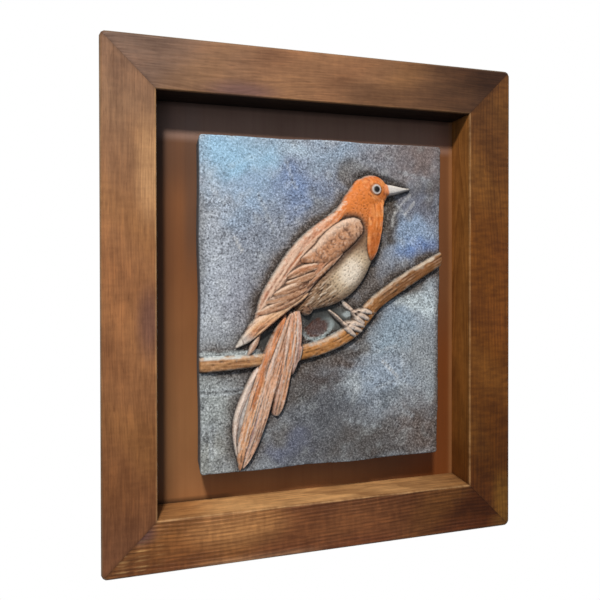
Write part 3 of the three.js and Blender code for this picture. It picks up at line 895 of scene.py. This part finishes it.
blade = Form([
    (18, 46.4, 4.5, 10.6), (5, 35.2, 6, 10.8), (-8, 23.6, 6.4, 10), (-20.5, 10.6, 6.4, 8.8),
    (-33, -0.5, 5, 7.8), (-44, -9, 3.4, 6.2),
], fullness=LAID_ON).raise_up()
feather_marks(blade, 11, (192, 138, 104))
primaries = Form([
    (-14, 8.6, 2.6, 8.6), (-28, -1, 4.4, 8), (-41, -9.4, 5.4, 7.2), (-51.4, -17.2, 5.8, 6.2),
    (-58.2, -24, 4.2, 5), (-66.4, -31, 1.2, 3.4),
], blunt=8, fullness=LAID_ON).raise_up()
feather_marks(primaries, 23, (240, 188, 142), dark=(140, 92, 66), orange=0.55)
primaries.brush((214, 204, 194), 0.9 * soft(primaries.share, 0.66, 0.88))
primaries.brush(WING_DARK_AND_SHADE, 0.7 * soft(np.abs(primaries.along - 58 - 0.5 * primaries.across), 0.7, 0.2))
LONG_FEATHERS = [
    ((-11.8, 12.8), (-29.7, 1.4), (-52.4, -7.6), 4.4, 9.0),
    ((-8.4, 17.2), (-26.2, 6.6), (-48, 0.2), 4.2, 9.5),
    ((-6.6, 20.8), (-23.3, 12.2), (-42, 4.4), 4.4, 9.9),
    ((-2.8, 24.4), (-17.5, 18), (-32.4, 13.2), 3.7, 10.4),
    ((-1.4, 28.4), (-16.9, 24.6), (-31.8, 17.6), 3.9, 10.9),
    ((12, 37), (-4.4, 22.8), (-24, 3.4), 2.5, 10.6),
]
wing_forms = [blade, primaries]
for order, shape in enumerate(LONG_FEATHERS):
    wing_forms.append(feather(*shape).raise_up())
    feather_marks(wing_forms[-1], 31 + 9 * order, (184, 136, 102))
coverts = Form([
    (30, 58.4, 6.8, 10.8), (19, 54.3, 9.4, 12), (8, 46.4, 10.8, 12.2), (-3, 37, 9.6, 11.6),
    (-13, 33, 5.4, 10.6), (-21, 30.4, 2.6, 9.4),
], fullness=LAID_ON).raise_up()
wing_forms.append(coverts)
CURL_ROWS = 11
CURL_LANES = (-1.5, -0.5, 0.5, 1.5)
CURL_RADIUS = 3.0
coverts.brush((198, 140, 101))
coverts.brush((212, 166, 132), 0.75 * soft(coverts.share, 0.45, 0.1))
coverts.brush(PINK_PALE, 0.5 * soft(coverts.mottle(0.9), 0.2, 1.0))
coverts.brush((118, 76, 54), 0.65 * soft(coverts.mottle(1.5, 9), 0.1, 1.1))
curls = np.zeros(coverts.x.shape)
for row in range(CURL_ROWS):
    for lane in CURL_LANES:
        centre = 7 + 4.9 * row + 1.4 * dice.standard_normal()
        aside = 4.6 * lane + 1.0 * dice.standard_normal()
        radius = CURL_RADIUS * dice.uniform(0.65, 1.1)
        turned = 0.5 * dice.standard_normal()
        strength = dice.uniform(0.0, 1.0) ** 2.2
        ahead = coverts.along - centre
        beside = coverts.across - aside
        away = np.hypot(ahead, beside)
        facing = np.abs(np.arctan2(beside, ahead) + turned)
        line = np.exp(-(((away - radius) / 0.5) ** 2)) + 0.2 * soft(away, 0, radius) * (away < radius)
        curls = np.maximum(curls, strength * line * soft(facing, 1.7, 0.8))
coverts.brush((96, 58, 40), 0.6 * np.minimum(curls, 1))
coverts.carve(0.32 * curls)
# The upper edge painted pale as a highlight, and the lower edge darker as shade
coverts.brush((224, 200, 178), 0.6 * soft(coverts.off, -0.25, -0.9))
coverts.brush((134, 90, 64), 0.4 * soft(coverts.off, 0.25, 0.9))
coverts.brush(WING_DARK_AND_SHADE, 0.6 * soft(coverts.off, 0.72, 0.98))

# The deep line between the wing and the belly, cut in and painted dark as shade, the wing's shadow painted
# on the belly beside it, and the tuft under the tail's root
WING_LINE_DEPTH = 1.5
wing = np.isin(owner, [form.number for form in wing_forms]).astype(float)
shade = blurred(wing, 1.3) * trunk.visible()
wash((48, 30, 20), np.clip(2.6 * shade - 0.1, 0, 0.92))
wing_shadow_on_belly = blurred(wing, 4.2) * trunk.visible()
wash(BELLY_BROWN, np.clip(2.4 * wing_shadow_on_belly, 0, 0.55))
wash((66, 42, 29), np.clip(4.0 * wing_shadow_on_belly - 0.35, 0, 0.85) * soft(Z, 12, 30))
height -= WING_LINE_DEPTH * shade
tuft = dome(-14.5, -4.6, 4.9, 6.2).raise_up(join=1)
tuft_marks = tuft.mottle(1.3, 4)
tuft.brush((126, 90, 66))
tuft.brush((66, 44, 34), soft(tuft_marks, 0.0, 0.9))
tuft.carve(0.4 * tuft_marks)

# The tail: long feathers side by side, streaked in orange, pink and lilac
LILAC = (146, 136, 146)
CHALK = (226, 216, 208)
# Each with its colour, and how much orange and lilac is streaked over it
TAIL = [
    (Form([
        (-43, -34, 2.2, 3.6), (-53, -60, 4, 3.5), (-61, -84, 4.2, 3.2), (-64.5, -106, 2, 2.6),
    ]), (206, 198, 190), 0.0, 0.3),
    (Form([
        (-43, -34, 1.8, 4.4), (-56, -57, 2.8, 4.4), (-65, -78, 2.5, 4.2),
        (-67.2, -92, 1.9, 3.8), (-66, -108, 1, 3),
    ]), (240, 216, 200), 0.1, 0.2),
    (Form([
        (-30, -8, 3, 5.8), (-41, -34, 4.8, 6), (-50.6, -62, 5, 5.8),
        (-57.5, -86, 4.8, 5.4), (-62.6, -106, 3.6, 4.8), (-63.4, -118.8, 1.6, 4),
    ], fullness=LAID_ON), (236, 174, 128), 0.8, 0.1),
    (Form([
        (-26, -6, 3, 6.2), (-35, -34, 5, 6.5), (-43.2, -62, 6, 6.3),
        (-49.8, -86, 5.4, 5.8), (-56.6, -106, 4, 5), (-61.6, -117.6, 1.6, 4.2),
    ], fullness=LAID_ON), (232, 180, 146), 0.35, 0.7),
    (Form([
        (-23, -5, 3.4, 6.4), (-26, -24, 5.6, 6.9), (-30.5, -50, 5, 6.6),
        (-35, -70, 5.2, 6), (-37.8, -81.5, 4, 5),
    ], fullness=LAID_ON), (220, 160, 120), 0.45, 0.3),
    (Form([
        (-20.5, -5.5, 2.6, 6.8), (-20.8, -22, 3.4, 7.4), (-22.4, -38, 3.2, 7.2), (-25.4, -52, 2, 6.4),
    ], fullness=LAID_ON), (208, 164, 142), 0.2, 0.4),
    (feather((-49, -21), (-53, -29), (-57.5, -37), 2.8, 4), (196, 152, 124), 0.1, 0.2),
]
for order, (form, base, orange, lilac) in enumerate(TAIL):
    form.raise_up()
    broad = form.strokes(26, 1.5, 61 + 13 * order)
    fine = form.strokes(11, 0.75, 64 + 13 * order)
    ashy = form.strokes(15, 0.95, 68 + 13 * order)
    form.brush(base)
    form.brush((226, 134, 70), orange * soft(broad + 1.2 - 2 * soft(form.share, 0.2, 0.75), 0.4, 1.5))
    form.brush(LILAC, lilac * soft(-form.off + 0.4 * broad, 0.25, 0.8))
    form.brush((156, 146, 134), 0.5 * soft(ashy, 0.4, 1.1))
    form.brush(PINK_PALE, 0.5 * soft(fine, 0.2, 1.0))
    form.brush(CHALK, 0.45 * soft(fine - broad, 0.9, 1.8))
    form.brush((132, 80, 52), 0.5 * soft(-fine, 0.3, 1.1))
    # Painted shade along each feather's right edge
    form.brush((104, 66, 46), (0.6 if order > 1 else 0.3) * soft(form.off, 0.70, 0.95))
    grain = form.strokes(1.7, 0.7, 75 + 13 * order)
    form.brush((148, 88, 56), 0.35 * soft(grain, 0.4, 1.3))
    form.brush(CHALK, 0.35 * soft(-grain, 0.4, 1.3))
    form.carve(0.32 * fine + 0.26 * broad + 0.06 * grain)

# The feet, which grip the branch
FOOT = (216, 190, 170)
LEG_HALF = 1.9
TOE_HALF = 2.1
TOE_CROWN = 7.4
# For each, the line and the crown of its leg, where its toes start, and each toe's bend and tip
FEET = [
    (((2.6, -5.4), (9, -11.2), (16.4, -18)), 5.6, (12, -15),
     (((22, -15.6), (31, -18.6)), ((20.6, -18.6), (29, -22.4)), ((17, -20.4), (23.6, -26)))),
    (((12.6, 2), (17, -3), (24, -8)), 1.8, (20, -7),
     (((29, -6.4), (37, -9)), ((27.4, -10), (34.4, -13.8)), ((24.6, -12.8), (30.6, -16.8)))),
]
for leg, leg_crown, ankle, toes in FEET:
    digits = [feather(*leg, LEG_HALF, leg_crown)]
    digits += [feather(ankle, bend, tip, TOE_HALF, TOE_CROWN) for bend, tip in toes]
    for digit in digits:
        digit.raise_up()
        scales = digit.strokes(1.6, 2.0)
        digit.brush(FOOT)
        digit.brush(CHALK, 0.6 * soft(-digit.off + 0.4 * scales, 0.0, 0.7))
        digit.brush((96, 66, 48), 0.7 * soft(digit.off, 0.45, 0.9))
        digit.brush((132, 100, 78), 0.4 * soft(scales, 0.4, 1.1))
        digit.carve(0.18 * scales)

# Dark wash round the foot of the relief, a slate patch with a brown oval behind the feet, wash in the
# hollows, and pale paint rubbed on the walls and crests. Shade is painted beside the bib, under the belly
# and down the slab's right edge, with a painted glint between the feet
RAISED_FROM = 0.3
raised = height > RAISED_FROM
under = raised.astype(float)


def wash_ground(colour, amount):
    """Lays thin paint on the ground, beside the relief."""
    wash(colour, amount * ~raised)


far = blurred(under, 7.5)
near = blurred(under, 3.4)
tight = blurred(under, 1.2)
patchy = 0.9 + 0.22 * cloud(5) + 0.12 * cloud(1.6)
slate = np.hypot((X - 6 + 0.6 * ragged_east) / 27, (Z + 14 + 0.3 * ragged_north) / 12)
slate = np.minimum(slate, np.hypot((X + 42) / 9, (Z + 27) / 8))
oval = np.hypot((X + 5.8) / 8.4, (Z + 18.4 - 0.12 * X) / 6.4) + 0.08 * cloud(1.2)
lighter = 1 - 0.35 * soft(Z, -44, -56)
lighter *= 1 - 0.6 * within(60, -6, 22, 11, core=0.6)
lighter *= 1 - 0.5 * within(-69, -20, 13, 13)
wash_ground((88, 76, 66), np.clip(2.8 * far * patchy, 0, 0.9) * lighter)
wash_ground((58, 46, 38), np.clip(2.4 * near * patchy - 0.1, 0, 0.85) * lighter)
brow = np.abs(Z - 96 + 0.16 * np.maximum(X - 36, 0) + 0.006 * (X - 36) ** 2)
wash_ground((38, 30, 25), 0.85 * soft(brow, 5, 1.5) * soft(np.abs(X - 46), 28, 16))
# Painted shade on the ground right of the bib
shade_beside_bib = np.hypot((X - 51) / 8, (Z - 66) / 22)
wash_ground((72, 60, 46), 0.85 * soft(shade_beside_bib + 0.15 * cloud(2), 1.4, 0.6))
wash_ground((96, 100, 98), 0.85 * soft(slate, 1.1, 0.6))
# Painted shade on the upper part of the slate patch, under the belly
wash_ground((44, 42, 40), 0.75 * soft(slate, 1.1, 0.6) * soft(Z - 0.5 * X, -15, -7))
wash_ground((28, 22, 19), np.clip(2.6 * (tight - 0.10), 0, 0.88))
oval_ring = soft(np.abs(oval - 1.25), 0.3, 0.05)
wash_ground((168, 180, 180), 0.7 * oval_ring * soft(Z - 0.5 * X, -10, -19))
wash_ground((88, 46, 24), 0.95 * soft(oval, 1.1, 0.88))
# Painted shade down the slab's right edge, stronger low down
right_edge_shade = 94 + 0.013 * Z
wash_ground((78, 62, 51), (0.55 + 0.25 * soft(Z, 30, 0)) * soft(right_edge_shade - X, 6, 0.5))
left_edge = soft(X + 92, 8, 1.5) * soft(np.abs(Z - 40), 48, 28)
wash_ground((100, 98, 96), 0.55 * left_edge)
groove = blurred(height, 0.7) - height
valley = blurred(height, 2.0) - height
palest_feather = TAIL[0][0]
takes_wash = raised * (1 - np.maximum(soft(eye_far, 4.8, 3.8), 0.65 * palest_feather.visible()))
wash((46, 30, 22), np.clip(2.8 * groove, 0, 0.85) * takes_wash)
wash((58, 40, 30), np.clip(0.24 * valley, 0, 0.45) * takes_wash)
rubbed = np.clip(-0.8 * groove, 0, 0.45) * soft(cloud(1.5), -0.8, 0.8)
wash((236, 220, 200), 0.65 * rubbed * takes_wash)
rim = raised * soft(tight, 0.93, 0.60) * soft(cloud(1.2), -1.0, 0.8)
wash((186, 176, 164), 0.5 * rim)
chalky = soft(branch.off, 0.48, 0.72) * soft(branch.strokes(4, 9), -0.8, 0.2)
chalky *= np.maximum(soft(branch.x, -46, -56), 0.4 * soft(np.abs(branch.x + 2), 18, 13))
chalky *= owner[branch.window] == branch.number
branch.brush((198, 208, 208), 0.75 * chalky)
# A painted glint on the ground between the feet
painted_glint = np.hypot((X - 17) / 3.4, (Z + 9) / 2.6) + 0.2 * cloud(1)
wash_ground((196, 208, 210), 0.7 * soft(painted_glint, 1.1, 0.5))
ledge = np.abs(Z + 35) + 0.4 * cloud(1.5)
wash_ground((190, 198, 198), 0.6 * soft(ledge, 1.8, 0.6) * soft(X, -46, -54))

# The ground's own unevenness, the scratches in it, the lines rubbed pale on it, and its grit
OVAL_DEPTH = 0.8
SCRATCH_DEPTH = 0.35
RUBBED_WIDTH = 0.9
RUBBED_RISE = 0.3
height += np.where(raised, 0, 0.22 * cloud(9) + 0.10 * cloud(2.2) + 0.07 * cloud(0.9))
height -= OVAL_DEPTH * soft(oval, 1.1, 0.8) * ~raised


def line_far(start, end, waver):
    """How far the points of the sheet lie from a line that is drawn with an unsteady hand."""
    run = np.subtract(end, start)
    t = np.clip(((X - start[0]) * run[0] + (Z - start[1]) * run[1]) / (run @ run), 0, 1)
    aside = X - start[0] - t * run[0] + waver * ragged_east
    return np.hypot(aside, Z - start[1] - t * run[1] + waver * ragged_north)


# Each with its two ends and its width
SCRATCHES = [
    ((-50, 78), (-38, 52), 0.5), ((-92, -63), (-62, -61.5), 0.8), ((-83, -86), (-83, -107), 0.6),
    ((50, -74), (72, -90), 0.5), ((63, -38), (64, -60), 0.45), ((40, -66), (60, -60), 0.45),
    ((70, 62), (58, 74), 0.5), ((-30, 104), (-22, 84), 0.4), ((16, -88), (44, -96), 0.4),
    ((-84, 84), (-74, 70), 0.4), ((60, 100), (84, 94), 0.4), ((30, -40), (58, -34), 0.45),
]
for start, end, width in SCRATCHES:
    away = line_far(start, end, 0.06)
    line = np.exp(-((away / width) ** 2)) * ~raised
    lip = np.exp(-(((away - 2 * width) / width) ** 2)) * ~raised
    height -= SCRATCH_DEPTH * line
    wash((60, 58, 60), 0.7 * line)
    wash((196, 202, 206), 0.4 * lip)
RUBBED_LINES = [
    ((68.5, 81.5), (57.5, 68)), ((57, 67), (54, 57)), ((72, 76), (66, 68)), ((-66, 48), (-60, 38)),
    ((46, -46), (58, -58)),
]
for start, end in RUBBED_LINES:
    line = np.exp(-((line_far(start, end, 0.15) / RUBBED_WIDTH) ** 2)) * ~raised
    height += RUBBED_RISE * line
    wash((206, 204, 200), 0.75 * line)
height = blurred(height, 0.24)
grit = np.clip(1.1 - 0.85 * blurred(under, 0.5), 0, 1.1) * (1 - 0.85 * soft(slate, 1.0, 0.6) * ~raised)
grit *= 1 - 0.35 * within(-62, 102, 34, 30)
grit *= 1 - 0.35 * within(82, 100, 36, 36)
grit *= 1 - 0.2 * within(0, -102, 50, 26)
grit *= 1 - 0.6 * trunk.visible()


def read(field, x, z):
    """The field at points given in millimetres."""
    column = np.clip((x - east[0]) / PITCH, 0, len(east) - 1.001)
    row = np.clip((z - north[0]) / PITCH, 0, len(north) - 1.001)
    left, low = column.astype(int), row.astype(int)
    s, t = column - left, row - low
    if field.ndim == 3:
        s, t = s[:, None], t[:, None]
    below = field[low, left] * (1 - s) + field[low, left + 1] * s
    above = field[low + 1, left] * (1 - s) + field[low + 1, left + 1] * s
    return below * (1 - t) + above * t


def slab_place(u, v):
    """Where points of a square from -1 to 1 lie on the slab, and how far in from its edge."""
    wide, tall = SLAB_HALF
    across, up = np.abs(u) * wide, np.abs(v) * tall
    p = np.clip((across - wide + SLAB_CORNER_RADIUS) / SLAB_CORNER_RADIUS, 0, 1)
    q = np.clip((up - tall + SLAB_CORNER_RADIUS) / SLAB_CORNER_RADIUS, 0, 1)
    across -= SLAB_CORNER_RADIUS * p * (1 - np.sqrt(1 - q * q / 2))
    up -= SLAB_CORNER_RADIUS * q * (1 - np.sqrt(1 - p * p / 2))
    rounded = SLAB_CORNER_RADIUS * (1 - np.hypot(p * np.sqrt(1 - q * q / 2), q * np.sqrt(1 - p * p / 2)))
    edge = np.where((p > 0) & (q > 0), rounded, np.minimum(wide - across, tall - up))
    s, t = (np.sign(u) * across / wide + 1) / 2, (1 - np.sign(v) * up / tall) / 2
    corners = np.array(SLAB_CORNERS)
    top = corners[0] + np.outer(s, corners[1] - corners[0])
    bottom = corners[3] + np.outer(s, corners[2] - corners[3])
    place = top + (bottom - top) * t[:, None]

    def swell(share, side):
        waves = np.sin(2 * math.pi * SLAB_WAVES_PER_SIDE * share + side)
        return SLAB_WAVE * np.sin(math.pi * share) * waves

    hold = soft(edge, WAVE_REACH, 0)
    place[:, 1] += hold * np.where(t < 0.5, swell(s, 0), -swell(1 - s, 2)) * soft(np.abs(t - 0.5), 0.3, 0.5)
    place[:, 0] += hold * np.where(s > 0.5, swell(t, 1), -swell(1 - t, 3)) * soft(np.abs(s - 0.5), 0.3, 0.5)
    return place[:, 0], place[:, 1], edge


bm = bmesh.new()
cells_east, cells_north = (round(2 * half / SLAB_CELL) for half in SLAB_HALF)
bmesh.ops.create_grid(bm, x_segments=cells_east, y_segments=cells_north, size=1)
wanted = blurred(under, RELIEF_MARGIN)
centres = np.array([face.calc_center_median() for face in bm.faces])
x, z, edge = slab_place(centres[:, 0], centres[:, 1])
fine = (read(wanted, x, z) > NEAR_RELIEF) | (edge < SLAB_CELL)
edges = {line for face, keep in zip(bm.faces, fine) if keep for line in face.edges}
bmesh.ops.subdivide_edges(bm, edges=list(edges), cuts=RELIEF_CUTS, use_grid_fill=True)
spots = np.array([vert.co for vert in bm.verts])
x, z, edge = slab_place(spots[:, 0], spots[:, 1])
nicks = read(cloud(1.6), x, z)
drop = SLAB_EDGE_ROUNDING - np.minimum(edge, SLAB_EDGE_ROUNDING)
drop = SLAB_EDGE_ROUNDING - np.sqrt(SLAB_EDGE_ROUNDING**2 - drop**2)
chips = CHIP_DEPTH * soft(nicks, 0.6, 2.2) * soft(edge, CHIP_REACH, 0)
face_y = SLAB_FACE + MM * (drop + chips - read(height, x, z) * soft(edge, -0.8, 0.6))
for vert, px, py, pz in zip(bm.verts, x, face_y, z):
    vert.co = (px * MM, py, pz * MM)
bmesh.ops.reverse_faces(bm, faces=bm.faces)
rim = [line for line in bm.edges if line.is_boundary]
for step in range(SIDE_STEPS):
    rim, fresh = pull_out(bm, rim)
    for vert in fresh:
        vert.co.y += (SLAB_BACK - vert.co.y) / (SIDE_STEPS - step)
bmesh.ops.edgeloop_fill(bm, edges=rim)
bmesh.ops.recalc_face_normals(bm, faces=bm.faces)


def painted_cast():
    """Matt paint on a gritty cast: dark specks in the pits and pale ones on the grains."""
    cast = Nodes(bpy.data.materials.new("painted_cast"))
    place = cast.add("ShaderNodeTexCoord").outputs["Object"]
    colour = cast.attribute("paint").outputs["Color"]
    grit_amount = cast.attribute("grit").outputs["Fac"]
    mottle = cast.noise(place, 190.0, detail=4.0, roughness=0.6)
    rising = cast.add("ShaderNodeMapping", {"Vector": place}, {"Rotation": (0, 0.8, 0)}).outputs[0]
    falling = cast.add("ShaderNodeMapping", {"Vector": place}, {"Rotation": (0, -0.6, 0)}).outputs[0]
    brushed = cast.noise(rising, 1.0, (900, 900, 400), detail=2.0)
    crossed = cast.noise(falling, 1.0, (900, 900, 400), detail=2.0)
    turned = cast.span(cast.noise(place, 60.0), 0.42, 0.58)
    strokes = cast.add("ShaderNodeMix", {0: turned, 2: brushed, 3: crossed}).outputs[0]
    dots = cast.noise(place, 740.0, detail=3.5, roughness=0.72)
    speck = cast.math("ADD", cast.math("MULTIPLY", dots, 0.76), cast.math("MULTIPLY", strokes, 0.24))
    dark = cast.mix(1.0, colour, (0.26, 0.25, 0.26), "MULTIPLY")
    light = cast.mix(0.12, cast.mix(1.0, colour, (1.75, 1.75, 1.75), "MULTIPLY"), (0.85, 0.85, 0.86))
    pits = cast.math("MULTIPLY", cast.span(speck, 0.475, 0.36, 0, 0.95), grit_amount)
    grains = cast.math("MULTIPLY", cast.span(speck, 0.505, 0.61, 0, 0.95), grit_amount)
    blots = cast.math("MULTIPLY", cast.span(mottle, 0.46, 0.34, 0, 0.4), grit_amount)
    mixed = cast.mix(blots, colour, dark)
    mixed = cast.mix(grains, mixed, light)
    mixed = cast.mix(pits, mixed, dark)
    cast.feed("Base Color", mixed)
    cast.feed("Roughness", cast.span(speck, 0.3, 0.7, 0.70, 0.52))
    cast.shader.inputs["Specular IOR Level"].default_value = 0.22
    cast.bump(cast.math("MULTIPLY", speck, grit_amount), 0.6, 0.0006)
    return cast.owner


tile = piece(bm, "relief_tile_cast", "relief_tile", painted_cast(), CAST_SHARP)
place = np.array([vert.co for vert in tile.data.vertices])
x, z = place[:, 0] / MM, place[:, 2] / MM
behind = (place[:, 1] - SLAB_FACE) / MM
colour = blend(read(paint, x, z), linear(*SLAB_SIDE), soft(behind, 0.6, 2.2))
attribute(tile.data, "paint", "FLOAT_COLOR", colour)
attribute(tile.data, "grit", "FLOAT", np.where(behind > 1, SIDE_GRIT, read(grit, x, z)))

# The studio
# A pale round floor below the hung panel, one lamp above and in front of it, and soft light from the room,
# brighter from above. The wall behind is left white, and the camera stands close by, to the left.

FLOOR_DROP = 0.44
FLOOR_RADIUS = 0.42
floor_bm = bmesh.new()
bmesh.ops.create_circle(floor_bm, cap_ends=True, segments=96, radius=FLOOR_RADIUS)
bmesh.ops.translate(floor_bm, verts=floor_bm.verts, vec=(0, 0, FRAME_BOTTOM - FLOOR_DROP))
pale = Nodes(bpy.data.materials.new("pale_floor"))
pale.shader.inputs["Base Color"].default_value = (0.86, 0.86, 0.85, 1)
pale.shader.inputs["Roughness"].default_value = 0.8
mesh_object(floor_bm, "floor", pale.owner)

LAMP_PLACE = (-0.33, -1.01, 0.95)
lamp_data = bpy.data.lights.new("lamp", "AREA")
lamp_data.shape = "DISK"
lamp_data.size = 0.15
lamp_data.energy = 17
lamp_data.color = (1.0, 0.95, 0.87)
lamp = bpy.data.objects.new("lamp", lamp_data)
lamp.location = LAMP_PLACE
lamp_tilt = math.atan2(-LAMP_PLACE[1], LAMP_PLACE[2])
lamp.rotation_euler = (lamp_tilt, 0, math.atan2(LAMP_PLACE[0], -LAMP_PLACE[1]))
bpy.context.scene.collection.objects.link(lamp)

world = bpy.data.worlds.new("studio")
bpy.context.scene.world = world
room = Nodes(world)
direction = room.add("ShaderNodeTexCoord").outputs["Generated"]
upward = room.add("ShaderNodeSeparateXYZ", {0: direction}).outputs["Z"]
fill = room.add(
    "ShaderNodeBackground",
    {"Strength": room.span(upward, -0.6, 0.8, 0.20, 0.50)},
    {"Color": (0.80, 0.92, 1.08, 1)},
)
white = room.add("ShaderNodeBackground", values={"Color": (1, 1, 1, 1)})
seen = room.add("ShaderNodeLightPath").outputs["Is Camera Ray"]
choice = room.add("ShaderNodeMixShader", {0: seen, 1: fill.outputs[0], 2: white.outputs[0]})
room.tree.links.new(choice.outputs[0], room.tree.nodes["World Output"].inputs["Surface"])
bpy.context.scene.view_settings.view_transform = "Standard"

camera_data = bpy.data.cameras.new("camera")
camera_data.sensor_width = 36
camera_data.lens = 33.0
camera_data.shift_x = -0.0092
camera_data.shift_y = -0.0463
camera = bpy.data.objects.new("camera", camera_data)
camera.location = (-0.1191, -0.4256, 0.0255)
camera.rotation_euler = (math.radians(90 - 0.43), math.radians(0.08), math.radians(-14.96))
bpy.context.scene.collection.objects.link(camera)
bpy.context.scene.camera = camera
